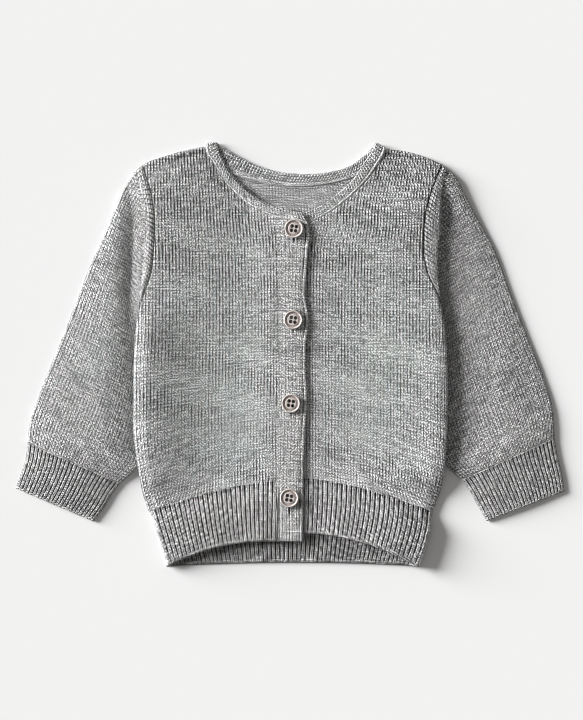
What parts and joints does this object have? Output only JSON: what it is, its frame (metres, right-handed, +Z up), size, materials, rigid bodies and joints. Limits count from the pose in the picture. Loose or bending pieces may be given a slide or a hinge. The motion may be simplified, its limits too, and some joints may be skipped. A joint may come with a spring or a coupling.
{
  "type": "baby cardigan",
  "caption": "Buttoned knitted baby cardigan with a round neckband, set-in sleeves and ribbed cuffs and hem, laid flat with its front up.",
  "frame": {"origin": "middle of the cardigan's outline, on the surface it lies on", "axes": "+X across the body from the wearer's right sleeve to the left one, +Y from the hem to the neck, +Z up out of the front"},
  "size_m": [0.3681, 0.2849, 0.0097],
  "materials": {
    "knit_cloth": "plain knit in grey melange yarn",
    "ribbed_cloth": "rib knit in the same grey melange yarn",
    "button": "pale pinkish beige, mottled, satin"
  },
  "bodies": {
    "root": {"back": "knit_cloth", "front_right": "knit_cloth", "front_left": "knit_cloth", "sleeve_right": "knit_cloth", "sleeve_left": "knit_cloth", "hem_rib_back": "ribbed_cloth", "hem_rib_right": "ribbed_cloth", "hem_rib_left": "ribbed_cloth", "cuff_right": "ribbed_cloth", "cuff_left": "ribbed_cloth", "neckband": "ribbed_cloth", "button_band_right": "knit_cloth", "button_band_left": "knit_cloth", "button_1": "button", "button_2": "button", "button_3": "button", "button_4": "button"}
  },
  "joints": []
}
